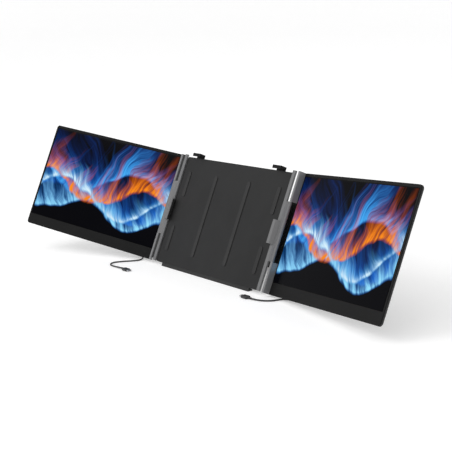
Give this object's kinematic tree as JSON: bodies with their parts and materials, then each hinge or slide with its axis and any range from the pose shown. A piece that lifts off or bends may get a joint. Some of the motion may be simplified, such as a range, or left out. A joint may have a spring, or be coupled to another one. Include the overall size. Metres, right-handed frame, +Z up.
{
  "type": "laptop screen extender",
  "caption": "Clip-on laptop screen extender: hinged side monitors on grey metal spines that slide out of a centre bracket, with lid clamps, top clips, kickstand and cables.",
  "frame": {"origin": "middle of the desk foot's underside, under the centre bracket's lower edge", "axes": "+Z up, +X to the right of a user who sits at -Y facing the screens"},
  "size_m": [1.0859, 0.2307, 0.2606],
  "materials": {
    "plate_alloy": "dark anodised, matte",
    "spine_alloy": "grey anodised, satin",
    "steel": "satin",
    "charcoal_metal": "charcoal, matte",
    "rail_plastic": "matte",
    "key_plastic": "matte",
    "silicone": "matte",
    "cable_jacket": "satin",
    "screen_glass": "gloss",
    "lcd_module": "satin",
    "circuit_board": "satin"
  },
  "bodies": {
    "bracket": {"front_plate": "plate_alloy", "back_cover": "plate_alloy", "guide_rails": "rail_plastic", "lid_pads": "silicone", "desk_foot": "silicone", "cover_screws": "steel", "kickstand_brackets": "steel", "kickstand_pin": "steel", "left_clip_spring": "steel", "right_clip_spring": "steel"},
    "kickstand": {"kickstand_panel": "plate_alloy", "kickstand_foot": "silicone"},
    "left_arm": {"left_arm_plate": "steel", "left_hinge_column": "spine_alloy", "left_lid_clamp": "spine_alloy", "left_clamp_pad": "silicone", "left_hinge_pin": "steel", "left_arm_screws": "steel", "left_cable": "cable_jacket", "left_laptop_plug": "cable_jacket", "left_plug_tip": "steel"},
    "left_monitor": {"left_rear_cover": "charcoal_metal", "left_front_bezel": "charcoal_metal", "left_display_glass": "screen_glass", "left_lcd_panel": "lcd_module", "left_driver_board": "circuit_board", "left_usb_port": "steel", "left_upper_leaf": "spine_alloy", "left_lower_leaf": "spine_alloy", "left_leaf_screws": "steel", "left_monitor_plug": "cable_jacket"},
    "left_power_button": {"left_power_button": "key_plastic"},
    "left_menu_key": {"left_menu_key": "key_plastic"},
    "left_clip": {"left_top_clip": "charcoal_metal", "left_clip_pad": "silicone"},
    "right_arm": {"right_arm_plate": "steel", "right_hinge_column": "spine_alloy", "right_lid_clamp": "spine_alloy", "right_clamp_pad": "silicone", "right_hinge_pin": "steel", "right_arm_screws": "steel", "right_cable": "cable_jacket", "right_laptop_plug": "cable_jacket", "right_plug_tip": "steel"},
    "right_monitor": {"right_rear_cover": "charcoal_metal", "right_front_bezel": "charcoal_metal", "right_display_glass": "screen_glass", "right_lcd_panel": "lcd_module", "right_driver_board": "circuit_board", "right_usb_port": "steel", "right_upper_leaf": "spine_alloy", "right_lower_leaf": "spine_alloy", "right_leaf_screws": "steel", "right_monitor_plug": "cable_jacket"},
    "right_power_button": {"right_power_button": "key_plastic"},
    "right_menu_key": {"right_menu_key": "key_plastic"},
    "right_clip": {"right_top_clip": "charcoal_metal", "right_clip_pad": "silicone"}
  },
  "joints": [
    {"name": "left_arm_slide", "type": "slide", "parent": "bracket", "child": "left_arm", "axis": [-1, 0, 0], "range_m": [0, 0.028]},
    {"name": "right_arm_slide", "type": "slide", "parent": "bracket", "child": "right_arm", "axis": [1, 0, 0], "range_m": [0, 0.028]},
    {"name": "left_monitor_hinge", "type": "hinge", "parent": "left_arm", "child": "left_monitor", "pos_m": [-0.193, 0.05084, 0.10545], "axis": [0, 0.4695, 0.8829], "range_deg": [-21, 159], "deforming": ["left_cable"]},
    {"name": "right_monitor_hinge", "type": "hinge", "parent": "right_arm", "child": "right_monitor", "pos_m": [0.2015, 0.0474, 0.10728], "axis": [0, -0.4695, -0.8829], "range_deg": [-8.5, 171.5], "deforming": ["right_cable"]},
    {"name": "kickstand_hinge", "type": "hinge", "parent": "bracket", "child": "kickstand", "pos_m": [0, 0.06947, 0.11706], "axis": [1, 0, 0], "range_deg": [-52, 33]},
    {"name": "left_clip_lift", "type": "slide", "parent": "bracket", "child": "left_clip", "axis": [0, 0.4695, 0.8829], "range_m": [0, 0.008], "stiffness_N_per_m": 300, "springref_m": -0.02, "deforming": ["left_clip_spring"]},
    {"name": "right_clip_lift", "type": "slide", "parent": "bracket", "child": "right_clip", "axis": [0, 0.4695, 0.8829], "range_m": [0, 0.008], "stiffness_N_per_m": 300, "springref_m": -0.02, "deforming": ["right_clip_spring"]},
    {"name": "left_power_button_press", "type": "slide", "parent": "left_monitor", "child": "left_power_button", "axis": [0.9336, 0.3164, -0.1682], "range_m": [0, 0.0004], "stiffness_N_per_m": 800, "springref_m": -0.0006},
    {"name": "left_menu_key_press", "type": "slide", "parent": "left_monitor", "child": "left_menu_key", "axis": [0.9336, 0.3164, -0.1682], "range_m": [0, 0.0004], "stiffness_N_per_m": 800, "springref_m": -0.0006},
    {"name": "right_power_button_press", "type": "slide", "parent": "right_monitor", "child": "right_power_button", "axis": [-0.989, 0.1305, -0.0694], "range_m": [0, 0.0004], "stiffness_N_per_m": 800, "springref_m": -0.0006},
    {"name": "right_menu_key_press", "type": "slide", "parent": "right_monitor", "child": "right_menu_key", "axis": [-0.989, 0.1305, -0.0694], "range_m": [0, 0.0004], "stiffness_N_per_m": 800, "springref_m": -0.0006}
  ]
}
